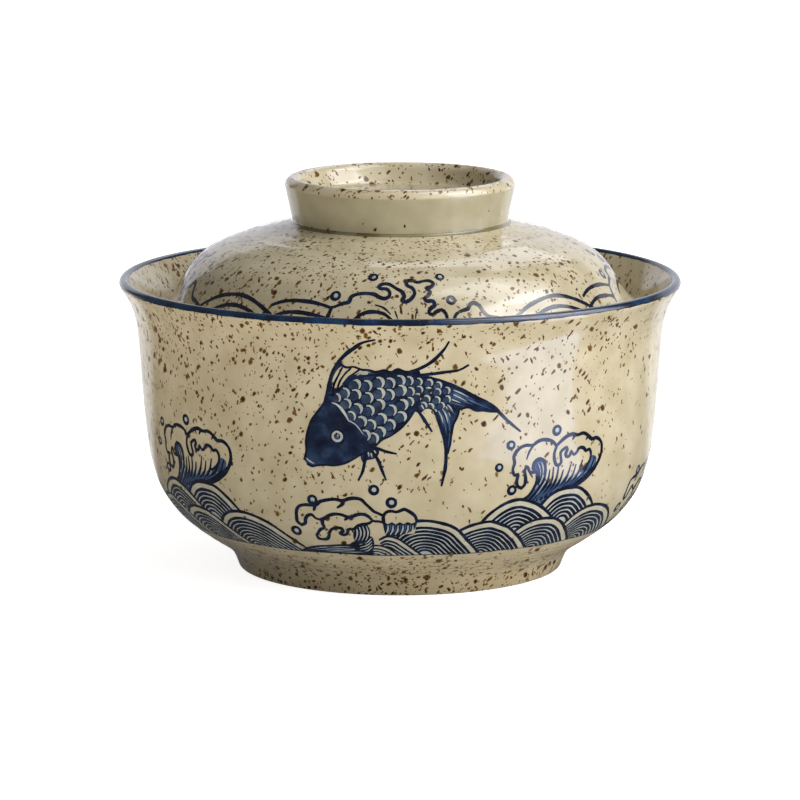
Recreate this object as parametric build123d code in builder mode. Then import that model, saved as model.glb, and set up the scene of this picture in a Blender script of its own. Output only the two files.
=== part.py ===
from build123d import *

import os
from math import atan2, degrees

# A lidded donburi bowl in stoneware: a deep bowl on a turned foot, and a domed lid with a ring grip.
# Each is one fired piece, turned about the Z axis. The bowl stands on z = 0 and faces no way round.
# Lengths are in millimetres, slopes in degrees from horizontal. Sections are drawn as (radius, height).
# A curve's carry says how far the slope at each of its ends holds, as a share of the curve's chord.

# Bowl, outside
rim_diameter = 170.0
bowl_height = 88.6
lip_thickness = 3.0
lip_slope = 55.5
flare_carry = (0.66, 0.29)
waist_radius = 77.9
waist_height = 50.0
waist_slope = 85.3
belly_carry = (0.435, 0.457)
belly_radius = 57.75
belly_height = 10.0
belly_slope = 32.0
foot_carry = (0.42, 0.6)
foot_radius = 49.15
foot_slope = 70.0

# Bowl, inside and underneath
wall = 4.0
inner_belly_carry = (0.46, 0.4)
floor_turn = 0.25
floor_thickness = 5.7
floor_radius = 34.0
floor_carry = (0.3, 0.5)
foot_width = 5.2
foot_recess = 4.8
foot_edge_round = 0.8
recess_round = 1.6

# Lid: its brim sits inside the bowl's flare, a little below the lip
seat_depth = 12.35
seat_clearance = 0.3
brim_thickness = 3.2
brim_slope = 27.3
brim_width = 9.1
brim_carry = (0.42, 0.42)
neck_height = 11.6
neck_slope = 61.8
dome_carry = (0.38, 0.36)
dome_height = 28.8
dome_slope = 20.2
lid_wall = 4.2
crown_turn = 0.9
crown_thickness = 6.8
crown_carry = (0.4, 0.36)

# Grip ring on the lid, which is also the lid's foot when it is turned over
grip_radius = 32.5
grip_height = 13.5
grip_flare = 2.35
grip_lip_thickness = 5.0
grip_recess = 6.2
grip_recess_radius = 28.2
grip_recess_round = 1.2


def along(slope, length):
    """A step of the given length, turned up from the outward direction by the slope."""
    return Vector(length, 0).rotate(Axis.Z, slope)


def bow(start, start_slope, end, end_slope, carry):
    """A smooth curve between two points that leaves and arrives at the given slopes."""
    start = Vector(start)
    end = Vector(end)
    chord = (end - start).length
    return Bezier(
        start,
        start + along(start_slope, carry[0] * chord),
        end - along(end_slope, carry[1] * chord),
        end,
    )


def slope(curve, at):
    """The slope of a curve at a share of its length, in the direction it runs."""
    heading = curve % at
    return degrees(atan2(heading.Y, heading.X))


def inset(curve, at, depth):
    """The point that lies the given depth behind an outside curve, on its hollow side."""
    return curve @ at + (curve % at).rotate(Axis.Z, 90) * depth


def round_edge(start, direction, end):
    """A half round from start to end that sets off in the given direction, as on a lip."""
    middle = (start + end) / 2 + direction * ((end - start).length / 2)
    return ThreePointArc(start, middle, end)


# Bowl: the outside runs up from the foot, over the lip and down the inside to the floor
lip_centre = Vector(rim_diameter / 2 - lip_thickness / 2, bowl_height - lip_thickness / 2)
lip_outside = lip_centre + along(lip_slope - 90, lip_thickness / 2)
lip_inside = lip_centre + along(lip_slope + 90, lip_thickness / 2)
foot_inner_radius = foot_radius - foot_width
floor_height = foot_recess + floor_thickness

with BuildPart() as bowl:
    with BuildSketch(Plane.XZ) as bowl_section:
        with BuildLine():
            foot = bow((foot_radius, 0), foot_slope, (belly_radius, belly_height), belly_slope, foot_carry)
            belly = bow(foot @ 1, belly_slope, (waist_radius, waist_height), waist_slope, belly_carry)
            flare = bow(belly @ 1, waist_slope, lip_outside, lip_slope, flare_carry)
            round_edge(lip_outside, along(lip_slope, 1), lip_inside)
            inner_flare = bow(
                lip_inside,
                lip_slope + 180,
                inset(belly, 1, wall),
                waist_slope + 180,
                flare_carry[::-1],
            )
            floor_slope = slope(belly, floor_turn) + 180
            inner_belly = bow(
                inner_flare @ 1,
                waist_slope + 180,
                inset(belly, floor_turn, wall),
                floor_slope,
                inner_belly_carry,
            )
            inner_floor = bow(inner_belly @ 1, floor_slope, (floor_radius, floor_height), 180, floor_carry)
            Polyline(
                inner_floor @ 1,
                (0, floor_height),
                (0, foot_recess),
                (foot_inner_radius, foot_recess),
                (foot_inner_radius, 0),
                (foot_radius, 0),
            )
        make_face()
        fillet(bowl_section.vertices().group_by(Axis.Y)[0], foot_edge_round)
        recess_corner = bowl_section.vertices().sort_by_distance((foot_inner_radius, foot_recess))[0]
        fillet(recess_corner, recess_round)
    revolve(axis=Axis.Z)

# Lid: the brim's round edge lies inside the bowl's flare, one clearance away from it
seat_line = Axis((0, bowl_height - seat_depth, 0), (1, 0, 0))
seat = inner_flare.find_intersection_points(seat_line)[0]
seat_normal = inner_flare.tangent_at(seat).rotate(Axis.Z, -90)
brim_centre = seat + seat_normal * (seat_clearance + brim_thickness / 2)
brim_top = brim_centre + along(90 - brim_slope, brim_thickness / 2)
brim_under = brim_centre + along(270 - brim_slope, brim_thickness / 2)
neck_radius = brim_centre.X - brim_width
dome_top = brim_centre.Y + dome_height
grip_top = dome_top + grip_height
grip_lip_height = grip_top - grip_lip_thickness / 2
grip_lip_outside = Vector(grip_radius + grip_flare, grip_lip_height)
grip_lip_inside = grip_lip_outside - Vector(grip_lip_thickness, 0)
grip_floor = grip_top - grip_recess
crown_top = grip_floor - crown_thickness

with BuildPart() as lid:
    with BuildSketch(Plane.XZ) as lid_section:
        with BuildLine():
            round_edge(brim_under, along(-brim_slope, 1), brim_top)
            brim = bow(
                brim_top,
                180 - brim_slope,
                (neck_radius, brim_centre.Y + neck_height),
                180 - neck_slope,
                brim_carry,
            )
            dome = bow(brim @ 1, 180 - neck_slope, (grip_radius, dome_top), 180 - dome_slope, dome_carry)
            Line(dome @ 1, grip_lip_outside)
            round_edge(grip_lip_outside, Vector(0, 1), grip_lip_inside)
            Polyline(
                grip_lip_inside,
                (grip_recess_radius, grip_floor),
                (0, grip_floor),
                (0, crown_top),
            )
            crown_slope = slope(dome, crown_turn) + 180
            crown = bow((0, crown_top), 0, inset(dome, crown_turn, lid_wall), crown_slope, crown_carry)
            under_dome = bow(
                crown @ 1,
                crown_slope,
                inset(dome, 0, lid_wall),
                -neck_slope,
                dome_carry[::-1],
            )
            bow(under_dome @ 1, -neck_slope, brim_under, -brim_slope, brim_carry[::-1])
        make_face()
        recess_edge = lid_section.vertices().sort_by_distance((grip_recess_radius, grip_floor))[0]
        fillet(recess_edge, grip_recess_round)
    revolve(axis=Axis.Z)

os.makedirs("parts", exist_ok=True)
bowl.part.label = "bowl"
export_step(bowl.part, "parts/bowl.step")
lid.part.label = "lid"
export_step(lid.part, "parts/lid.step")
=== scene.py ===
import math

import bpy
import numpy as np
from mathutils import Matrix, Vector
from mathutils.geometry import delaunay_2d_cdt


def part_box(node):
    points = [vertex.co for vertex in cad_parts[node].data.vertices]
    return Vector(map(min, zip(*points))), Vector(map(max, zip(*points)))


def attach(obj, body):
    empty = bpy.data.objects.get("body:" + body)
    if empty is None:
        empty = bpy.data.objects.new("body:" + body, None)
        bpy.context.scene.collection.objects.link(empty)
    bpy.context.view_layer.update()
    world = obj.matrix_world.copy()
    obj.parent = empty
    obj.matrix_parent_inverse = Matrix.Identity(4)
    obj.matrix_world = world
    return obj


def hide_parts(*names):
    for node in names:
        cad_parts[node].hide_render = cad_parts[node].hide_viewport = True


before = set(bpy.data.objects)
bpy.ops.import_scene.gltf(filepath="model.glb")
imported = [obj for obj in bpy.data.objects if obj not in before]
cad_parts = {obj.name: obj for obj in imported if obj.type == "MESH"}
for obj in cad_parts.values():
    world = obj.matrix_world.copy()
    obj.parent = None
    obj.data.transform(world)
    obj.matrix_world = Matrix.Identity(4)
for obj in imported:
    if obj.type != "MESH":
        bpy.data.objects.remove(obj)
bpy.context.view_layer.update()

# Bowl: a deep stoneware bowl, thrown and turned in one piece from its foot up to its flared lip.
# It was dipped whole in a clear glaze, and the ring that it stands on was then wiped bare.
# Sizes are in millimetres and slopes in degrees from level, as (radius, height) on the turned outline.
mm = 0.001
quarter_turn = 90
half_turn = 180
rim_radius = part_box("bowl")[1].x / mm
bowl_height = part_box("bowl")[1].z / mm
lip_thickness = 3.0
lip_slope = 55.5
flare_carry = (0.66, 0.29)
waist = (77.9, 50.0)
waist_slope = 85.3
belly_carry = (0.435, 0.457)
belly_start = (57.75, 10.0)
belly_slope = 32.0
foot_carry = (0.42, 0.6)
foot_radius = 49.15
foot_slope = 70.0
wall = 4.0
inner_belly_carry = (0.46, 0.4)
floor_turn = 0.25
floor_height = 10.5
floor_radius = 34.0
floor_carry = (0.3, 0.5)
foot_width = 5.2
foot_recess = 4.8
foot_edge_round = 0.6
foot_edge_points = 2
recess_round = 1.6
standing_depth = 0.2
outside_step = 0.6
inside_step = 1.3
level_rings = 10
columns_round = 288
# What the turning tool and the fingers left: place along the outside, height and half width of each mark
foot_marks = (
    (9.2, -0.10, 0.5),
    (11.6, -0.14, 0.45),
    (14.6, -0.12, 0.5),
    (17.4, -0.09, 0.6),
    (20.0, 0.05, 0.9),
)
finger_ripple = 0.022
finger_pitch = 11.0


def heading(slope):
    """The way that a slope points, as a step of one millimetre outward and up."""
    return np.array([math.cos(math.radians(slope)), math.sin(math.radians(slope))])


def bow(start, start_slope, end, end_slope, carry, step):
    """A smooth curve that leaves and arrives at given slopes, each carried for a share of the chord."""
    start = np.asarray(start, float)
    end = np.asarray(end, float)
    chord = np.linalg.norm(end - start)
    first = start + heading(start_slope) * carry[0] * chord
    second = end - heading(end_slope) * carry[1] * chord
    t = np.linspace(0, 1, int(chord / step) + 2)[:, None]
    return (1 - t) ** 3 * start + 3 * (1 - t) ** 2 * t * first + 3 * (1 - t) * t**2 * second + t**3 * end


def half_round(start, slope, end, steps=12):
    """A lip's half round from start to end that sets off along the slope."""
    centre = (start + end) / 2
    reach = (start - end) / 2
    turn = np.linspace(0, math.pi, steps + 1)[1:-1, None]
    return centre + reach * np.cos(turn) + heading(slope) * np.linalg.norm(reach) * np.sin(turn)


def eased(before, corner, after, reach, steps=6):
    """A corner rounded over the given reach along both of its sides."""
    corner = np.asarray(corner, float)
    first, last = [
        corner + (np.asarray(side) - corner) / np.linalg.norm(np.asarray(side) - corner) * reach
        for side in (before, after)
    ]
    t = np.linspace(0, 1, steps + 1)[:, None]
    return (1 - t) ** 2 * first + 2 * (1 - t) * t * corner + t**2 * last


def level(start, end, height, count=level_rings):
    """Evenly spaced points of a level stretch of an outline."""
    return np.column_stack([np.linspace(start, end, count), np.full(count, height)])


def lengths(line):
    """The running length at each point of a line."""
    return np.concatenate([[0], np.cumsum(np.linalg.norm(np.diff(line, axis=0), axis=1))])


def right_hand(line):
    """The unit step to the right of a line at each of its points: outward, on an outline that climbs."""
    along = np.gradient(line, lengths(line), axis=0)
    along /= np.linalg.norm(along, axis=1)[:, None]
    return np.column_stack([along[:, 1], -along[:, 0]])


def wheel_marked(line, marks):
    """An outline with its turning marks and with the slow ripple that fingers leave on the wheel."""
    run = lengths(line)
    lift = finger_ripple * np.sin(run * 2 * math.pi / finger_pitch)
    lift = lift * np.minimum(1, (run[-1] - run) / finger_pitch)
    for place, height, half_width in marks:
        lift = lift + height * np.exp(-(((run - place) / half_width) ** 2))
    return line + right_hand(line) * lift[:, None]


def inside_of(line, share, depth):
    """The point the given depth behind an outline, at a share of its length, and the slope there."""
    run = lengths(line)
    point, out = [
        np.array([np.interp(share * run[-1], run, column) for column in part.T])
        for part in (line, right_hand(line))
    ]
    return point - out * depth, math.degrees(math.atan2(out[0], -out[1]))


def smooth_piece(name, points, faces, materials):
    """A smooth piece from points in millimetres, put into the scene."""
    mesh = bpy.data.meshes.new(name)
    mesh.from_pydata((points * mm).tolist(), [], faces)
    for material in materials:
        mesh.materials.append(material)
    mesh.polygons.foreach_set("use_smooth", np.ones(len(faces), bool))
    piece = bpy.data.objects.new(name, mesh)
    bpy.context.scene.collection.objects.link(piece)
    return piece


def turned(name, outline, materials, kind_of_row):
    """A closed solid turned about the axis from an outline that starts and ends on it."""
    angles = np.linspace(0, 2 * math.pi, columns_round, endpoint=False)
    rows = outline[1:-1]
    points = np.empty((len(rows), columns_round, 3))
    points[..., 0] = rows[:, :1] * np.cos(angles)
    points[..., 1] = rows[:, :1] * np.sin(angles)
    points[..., 2] = rows[:, 1:]
    ends = [(0, 0, outline[0, 1]), (0, 0, outline[-1, 1])]
    index = np.arange(len(rows) * columns_round).reshape(len(rows), columns_round)
    first, last = index.size, index.size + 1
    following = np.roll(index, -1, axis=1)
    quads = np.stack([index[:-1], following[:-1], following[1:], index[1:]], axis=-1)
    faces = quads.reshape(-1, 4).tolist()
    faces += [(first, b, a) for a, b in zip(index[0].tolist(), following[0].tolist())]
    faces += [(a, b, last) for a, b in zip(index[-1].tolist(), following[-1].tolist())]
    piece = smooth_piece(name, np.vstack([points.reshape(-1, 3), ends]), faces, materials)
    kinds = kind_of_row(outline[:-1], outline[1:])
    kinds = np.repeat([*kinds[1:-1], kinds[0], kinds[-1]], columns_round)
    piece.data.polygons.foreach_set("material_index", kinds.astype(np.int32))
    return piece


def linear(code):
    """A colour from its sRGB hex code, as the linear values that a shader takes."""
    parts = [int(code[i : i + 2], 16) / 255 for i in (0, 2, 4)]
    return (*[p / 12.92 if p <= 0.04045 else ((p + 0.055) / 1.055) ** 2.4 for p in parts], 1.0)


def add(tree, kind, inputs=(), out=0, **settings):
    """Adds a node, or takes one that is there, sets and links it, and gives one of its outputs.

    Inputs go by name, or else in order. Each takes a plain value or another node's output."""
    node = tree.nodes.new("ShaderNode" + kind) if isinstance(kind, str) else kind
    for name, value in settings.items():
        setattr(node, name, value)
    for name, value in inputs.items() if isinstance(inputs, dict) else enumerate(inputs):
        if isinstance(value, bpy.types.NodeSocket):
            tree.links.new(value, node.inputs[name])
        else:
            node.inputs[name].default_value = value
    return node.outputs[out] if node.outputs else None


def blank(name):
    """A new material, with its node tree and its shader."""
    material = bpy.data.materials.new(name)
    material.use_nodes = True
    return material, material.node_tree, material.node_tree.nodes["Principled BSDF"]


# Iron specks in the clay that melt up through the glaze: spacing, least and greatest radius in
# millimetres, how many of the places hold one, how long they are drawn out, and the way they lie
speck_kinds = (
    (1.3, 0.16, 0.32, 0.20, 1.0, (0.0, 0.0, 0.0)),
    (1.9, 0.25, 0.58, 0.28, 2.0, (0.4, 0.7, 0.9)),
    (3.6, 0.40, 0.92, 0.32, 1.6, (0.9, -0.5, 0.3)),
    (1.6, 0.17, 0.37, 0.25, 4.0, (0.0, 0.75, 0.0)),
    (1.6, 0.17, 0.37, 0.25, 4.0, (0.0, -0.55, 0.3)),
    (1.6, 0.17, 0.37, 0.25, 4.0, (0.75, 0.0, 0.0)),
    (1.6, 0.17, 0.37, 0.23, 4.0, (-0.65, 0.0, 0.2)),
)
speck_core = "1e1302"
speck_rust = "855a0a"
edge_waves_per_mm = 0.9
edge_wobble = 0.84
noise_middle = (0.5, 0.5, 0.5)
noise_span = (0.3, 0.7)
# How the specks crowd: in clouds, to one side of the kiln, towards the lip and on the foot
cloud_size = 16.0
cloud_crowding = (0.6, 1.35)
side_crowding = (1.3, 0.55)
lip_crowding = (0.7, 2.3)
lip_crowding_from = 35.0
foot_crowding = (1.0, 4.6)
foot_crowding_from = 16.0
# How a speck fades, in shares of its radius: its rusty halo and its core, some cores paler than others
halo_fade = (1.2, 0.95)
core_fade = (1.05, 0.55)
shade_span = (0.1, 0.6)
core_shade = (0.62, 1.0)
# The sockets of a colour mix
mix_a, mix_b, mixed = 6, 7, 2


def iron_specked(tree, ground, plenty, rust, foot_worn):
    """Lays iron specks over a ground colour, and says where they lie. Plenty is 1 for as many as usual."""
    place = add(tree, "TexCoord", out="Object")
    place = add(tree, "VectorMath", {0: place, "Scale": 1 / mm}, operation="SCALE")
    rough = add(tree, "TexNoise", {"Vector": place, "Scale": edge_waves_per_mm, "Detail": 3.0}, "Color")
    rough = add(tree, "VectorMath", (rough, noise_middle), operation="SUBTRACT")
    rough = add(tree, "VectorMath", {0: rough, "Scale": edge_wobble}, operation="SCALE")
    place = add(tree, "VectorMath", (place, rough), operation="ADD")
    cloud = add(tree, "TexNoise", {"Vector": place, "Scale": 1 / cloud_size, "Detail": 1.0})
    crowd = add(tree, "MapRange", (cloud, *noise_span, *[plenty * share for share in cloud_crowding]))
    across, _, height = add(tree, "SeparateXYZ", (place,)).node.outputs
    crowding = [
        (across, -rim_radius, rim_radius, *side_crowding),
        (height, lip_crowding_from, bowl_height, *lip_crowding),
        (height, foot_crowding_from, belly_start[1], *foot_crowding),
    ]
    for reading in crowding if foot_worn else crowding[:-1]:
        crowd = add(tree, "Math", (crowd, add(tree, "MapRange", reading)), operation="MULTIPLY")
    covered = None
    for spacing, least, most, share, drawn_out, lie in speck_kinds:
        size = (spacing, spacing, spacing * drawn_out)
        cell = add(tree, "Mapping", {"Vector": place, "Rotation": lie, "Scale": size}, vector_type="TEXTURE")
        spots = add(tree, "TexVoronoi", {"Vector": cell, "Scale": 1.0}).node.outputs
        girth, chance, shade = add(tree, "SeparateColor", (spots["Color"],)).node.outputs
        radius = add(tree, "MapRange", {0: girth, 3: least / spacing, 4: most / spacing})
        depth = add(tree, "Math", (spots["Distance"], radius), operation="DIVIDE")
        limit = add(tree, "Math", (crowd, share), operation="MULTIPLY")
        taken = add(tree, "Math", (chance, limit), operation="LESS_THAN")
        halo = add(tree, "MapRange", (depth, *halo_fade), interpolation_type="SMOOTHSTEP")
        halo = add(tree, "Math", (halo, taken), operation="MULTIPLY")
        darkest = add(tree, "MapRange", (shade, *shade_span, *core_shade))
        core = add(tree, "MapRange", (depth, *core_fade, 0.0, darkest), interpolation_type="SMOOTHSTEP")
        iron = {0: core, mix_a: linear(rust), mix_b: linear(speck_core)}
        iron = add(tree, "Mix", iron, mixed, data_type="RGBA")
        ground = add(tree, "Mix", {0: halo, mix_a: ground, mix_b: iron}, mixed, data_type="RGBA")
        covered = halo if covered is None else add(tree, "Math", (covered, halo), operation="MAXIMUM")
    return ground, covered


# Speckled stoneware glaze: glassy and clear, so the warm beige clay shows through, a little greener
# where it is thick. It mirrors the studio softly, with a faint orange-peel waviness. On the foot it is
# thin, and the tool's lines and the grit of the clay show.
glaze_tones = ("c3b795", "cdc1a2", "d6cbae")
tone_places = (0.3, 0.5, 0.7)
thin_glaze = "e2cc9e"
thin_glaze_top = 17.0
thin_glaze_full = 12.0
thin_glaze_share = (0.1, 0.6)
worn_span = (0.75, 1.25)
tool_line = 0.7
tool_line_waver = 12.0
tool_depth = 0.10
grit_size = 0.8
glaze_ior = 1.5
iron_roughness = 0.3
swell_size = 16.0
swell_height = 0.10
peel_size = 1.4
peel_height = 0.008


def glazed(name, tones, tone_size=9.0, plenty=1.0, rust=speck_rust, foot_worn=False, roughness=0.11):
    """A clear, glossy, slightly wavy glaze over a ground that drifts between three tones."""
    material, tree, shader = blank(name)
    place = add(tree, "TexCoord", out="Object")
    drift = add(tree, "TexNoise", {"Vector": place, "Scale": 1 / (tone_size * mm), "Detail": 4.0})
    ground = add(tree, "ValToRGB", (drift,))
    ramp = ground.node.color_ramp.elements
    ramp.new(tone_places[1])
    for stop, position, tone in zip(ramp, tone_places, tones):
        stop.position = position
        stop.color = linear(tone)
    swell = add(tree, "TexNoise", {"Vector": place, "Scale": 1 / (swell_size * mm), "Detail": 1.0})
    relief = add(tree, "Bump", {"Height": swell, "Distance": swell_height * mm})
    peel = add(tree, "TexNoise", {"Vector": place, "Scale": 1 / (peel_size * mm), "Detail": 2.0})
    relief = add(tree, "Bump", {"Height": peel, "Distance": peel_height * mm, "Normal": relief})
    if foot_worn:
        height = add(tree, "SeparateXYZ", (place,), "Z")
        thin = add(tree, "MapRange", (height, thin_glaze_top * mm, thin_glaze_full * mm))
        rings = (tool_line_waver, tool_line_waver, 1 / (tool_line * mm))
        rings = add(tree, "Mapping", {"Vector": place, "Scale": rings})
        rings = add(tree, "TexNoise", {"Vector": rings, "Scale": 1.0, "Detail": 4.0})
        grit = add(tree, "TexNoise", {"Vector": place, "Scale": 1 / (grit_size * mm), "Detail": 4.0})
        turning = add(tree, "Math", (rings, grit), operation="ADD")
        worn = add(tree, "MapRange", (turning, *worn_span, *thin_glaze_share))
        worn = add(tree, "Math", (worn, thin), operation="MULTIPLY")
        worn = {0: worn, mix_a: ground, mix_b: linear(thin_glaze)}
        ground = add(tree, "Mix", worn, mixed, data_type="RGBA")
        turning = add(tree, "Math", (turning, thin), operation="MULTIPLY")
        relief = add(tree, "Bump", {"Height": turning, "Distance": tool_depth * mm, "Normal": relief})
    colour, iron = iron_specked(tree, ground, plenty, rust, foot_worn)
    haze = add(tree, "MapRange", {0: iron, 3: roughness, 4: iron_roughness})
    add(tree, shader, {"Base Color": colour, "Roughness": haze, "IOR": glaze_ior, "Normal": relief})
    return material


speckled_glaze = glazed("speckled_stoneware_glaze", glaze_tones, foot_worn=True)
inside_glaze = glazed("speckled_glaze_inside", glaze_tones)

# Bare stoneware: fired clay with no glaze, dry and matt. Its grog is finer than this, and is drawn
# coarser so that it shows.
clay_tones = ("8a7455", "a08a69")
clay_roughness = 0.85
grog_size = 0.9
clay_relief = 0.05
bare_clay, clay_tree, clay_shader = blank("bare_fired_clay")
clay_place = add(clay_tree, "TexCoord", out="Object")
grog = add(clay_tree, "TexNoise", {"Vector": clay_place, "Scale": 1 / (grog_size * mm), "Detail": 5.0})
clay_mix = {0: grog, mix_a: linear(clay_tones[0]), mix_b: linear(clay_tones[1])}
clay_look = {
    "Base Color": add(clay_tree, "Mix", clay_mix, mixed, data_type="RGBA"),
    "Roughness": clay_roughness,
    "Normal": add(clay_tree, "Bump", {"Height": grog, "Distance": clay_relief * mm}),
}
add(clay_tree, clay_shader, clay_look)

lip_centre = np.array([rim_radius - lip_thickness / 2, bowl_height - lip_thickness / 2])
lip_outside = lip_centre + heading(lip_slope - quarter_turn) * lip_thickness / 2
lip_inside = lip_centre + heading(lip_slope + quarter_turn) * lip_thickness / 2
foot_inner = foot_radius - foot_width
recess_corner = (foot_inner, foot_recess)

foot_curve = bow((foot_radius, 0), foot_slope, belly_start, belly_slope, foot_carry, outside_step)
belly_curve = bow(belly_start, belly_slope, waist, waist_slope, belly_carry, outside_step)
flare_curve = bow(waist, waist_slope, lip_outside, lip_slope, flare_carry, outside_step)
bowl_outside = wheel_marked(np.vstack([foot_curve[:-1], belly_curve[:-1], flare_curve]), foot_marks)
foot_edge = bowl_outside[foot_edge_points]
inner_waist, _ = inside_of(belly_curve, 1, wall)
inner_turn, turn_slope = inside_of(belly_curve, floor_turn, wall)
waist_down = waist_slope + half_turn
turn_down = turn_slope + half_turn
inner_flare = bow(lip_inside, lip_slope + half_turn, inner_waist, waist_down, flare_carry[::-1], inside_step)
inner_belly = bow(inner_waist, waist_down, inner_turn, turn_down, inner_belly_carry, inside_step)
inner_floor = bow(inner_turn, turn_down, (floor_radius, floor_height), half_turn, floor_carry, inside_step)
bowl_outline = np.vstack(
    [
        level(0, foot_inner - recess_round, foot_recess)[:-1],
        eased((0, foot_recess), recess_corner, (foot_inner, 0), recess_round),
        eased(recess_corner, (foot_inner, 0), (foot_radius, 0), foot_edge_round),
        eased((foot_inner, 0), (foot_radius, 0), foot_edge, foot_edge_round),
        bowl_outside[foot_edge_points:],
        half_round(lip_outside, lip_slope, lip_inside),
        inner_flare[:-1],
        inner_belly[:-1],
        inner_floor[:-1],
        level(floor_radius, 0, floor_height),
    ]
)


def bowl_rows(lower, upper):
    """1 for the rows that the bowl stands on, which are bare clay, 2 inside the lip, and 0 elsewhere."""
    standing = (lower[:, 1] < standing_depth) & (upper[:, 1] < standing_depth)
    inside = np.arange(len(lower)) >= np.argmax(lower[:, 1])
    return np.where(standing, 1, np.where(inside, 2, 0))


bowl = turned("bowl_body", bowl_outline, (speckled_glaze, bare_clay, inside_glaze), bowl_rows)
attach(bowl, "bowl")
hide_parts("bowl")

# Rim band: a line of cobalt run round the lip with a loaded brush while the bowl turned on the wheel.
# It covers the lip, a little of the flare outside and less inside, and its edge is uneven from the hand.
band_outside = -0.8
band_inside = 0.15
band_unevenness = 0.13
band_columns = 720
band_rows = 22
lip_steps = 16
flare_points = 8
inner_points = 6
inner_edge_turn = 200
# The share of each waver of the hand, how often it comes round the rim, and where it starts
hand_wavers = ((0.5, 5, 1), (0.3, 13, 2), (0.35, 37, 0), (0.3, 71, 4), (0.25, 113, 5))
film_thickness = 0.05
film_sunk = 0.03
# Cobalt under the glaze: glossy blue, near black where the brush was full and lighter where it ran thin
speck_on_cobalt = "2c2015"
rim_tones = ("0a172a", "112742", "1c3d62")
rim_cobalt = glazed("rim_cobalt_under_glaze", rim_tones, 6.0, 0.3, speck_on_cobalt, roughness=0.16)


def turned_face(line):
    """A turned outline to paint on: its running length, its points and its outward steps."""
    return lengths(line), line, right_hand(line)


def laid_on(face, angle, run, lift):
    """Points at an angle round a turned face and a length along it, lifted off it, and the normals there."""
    lengths_along, line, out = face
    radius, height, out_radius, out_height = [
        np.interp(run, lengths_along, column) for column in (*line.T, *out.T)
    ]
    normal = np.stack([out_radius * np.sin(angle), -out_radius * np.cos(angle), out_height], axis=-1)
    radius = radius + out_radius * lift
    height = height + out_height * lift
    return np.stack([radius * np.sin(angle), -radius * np.cos(angle), height], axis=-1), normal


def painted(name, points, normals, faces, material, body):
    """A film of paint as a piece, shaded with the normals of the surface that it lies on."""
    piece = smooth_piece(name, points, faces, [material])
    piece.data.normals_split_custom_set_from_vertices(normals.tolist())
    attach(piece, body)


lip_flare = flare_curve[-flare_points:]
lip_round = half_round(lip_outside, lip_slope, lip_inside, lip_steps)
lip_face = turned_face(np.vstack([lip_flare, lip_round, inner_flare[:inner_points]]))
lip_start = lengths(lip_flare)[-1]
lip_end = lip_start + math.pi * lip_thickness / 2
round_angle = np.linspace(0, 2 * math.pi, band_columns, endpoint=False)
waver = sum(share * np.sin(waves * round_angle + start) for share, waves, start in hand_wavers)
band_from = lip_start - band_outside - band_unevenness * waver
band_to = lip_end + band_inside + band_unevenness * np.roll(waver, inner_edge_turn)
over_lip = np.linspace(0, 1, band_rows)[:, None]
band_run = band_from * (1 - over_lip) + band_to * over_lip
angle_grid = np.broadcast_to(round_angle, band_run.shape)
band_top, band_normals = laid_on(lip_face, angle_grid, band_run, film_thickness)
band_under, _ = laid_on(lip_face, angle_grid, band_run, -film_sunk)
# One closed skin: up over the top of the film, and back underneath it
band_skin = np.concatenate([band_top, band_under[::-1]]).reshape(-1, 3)
band_normals = np.concatenate([band_normals, band_normals[::-1]]).reshape(-1, 3)
band_index = np.arange(len(band_skin)).reshape(-1, band_columns)
above = np.roll(band_index, -1, axis=0)
band_corners = [band_index, np.roll(band_index, -1, axis=1), np.roll(above, -1, axis=1), above]
band_faces = np.stack(band_corners, axis=-1).reshape(-1, 4).tolist()
painted("rim_band", band_skin, band_normals, band_faces, rim_cobalt, "bowl")

# Waves: rolling wave hills with foam and a breaking crest, painted round the belly by brush in cobalt
# under the glaze. The same stretch of sea is painted four times, so it closes on itself.
# Places are in millimetres on the unrolled outside: round from the front, and up along the outline.
bowl_reference = 78.0
wave_turns = 4
wave_pitch = 2 * math.pi * bowl_reference / wave_turns
wave_from = -36.9
wave_to = wave_from + wave_pitch
sea_reach = (8, 70)
sea_floor = 23.6
# How finely strokes, dabs and the plane are cut, and what counts as one place or one straight line
brush_step = 0.8
grid_step = 2.0
round_end_points = 7
dab_points = 10
dab_points_per_mm = 9
weld_distance = 1e-5
least_area = 1e-7
straight_enough = 0.003
seam_places_per_mm = 1000
# A stroke's taper, and how its load of paint wavers: height and length of each waver
taper_length = 6.0
taper_share = 0.45
load_wavers = ((0.09, 1.7), (0.05, 0.6))
drop_light = 0.42
drop_light_shift = 0.1
# Paints: the outlines are nearly black blue, and thinned cobalt gives a middle blue, a grey and a cream.
# Each has its material's name, its three tones, the size of its clouds in millimetres and its specks.
paint_materials = {
    paint: glazed(name, tones, *rest)
    for paint, name, tones, *rest in (
        ("line", "cobalt_line_under_glaze", ("090f1e", "0f192e", "192a49"), 4.0, 0.2, speck_on_cobalt),
        ("wash", "cobalt_wash_under_glaze", ("2a3d60", "3d5276", "546a8c"), 3.0, 0.2, speck_on_cobalt),
        ("pale", "pale_wash_under_glaze", ("a9afac", "b6bbb6", "c3c7bf"), 3.0, 0.3),
        ("cream", "cream_wash_under_glaze", ("bdb8a3", "c7c2ae", "d1ccb9"), 4.0, 0.4),
    )
}


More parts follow.
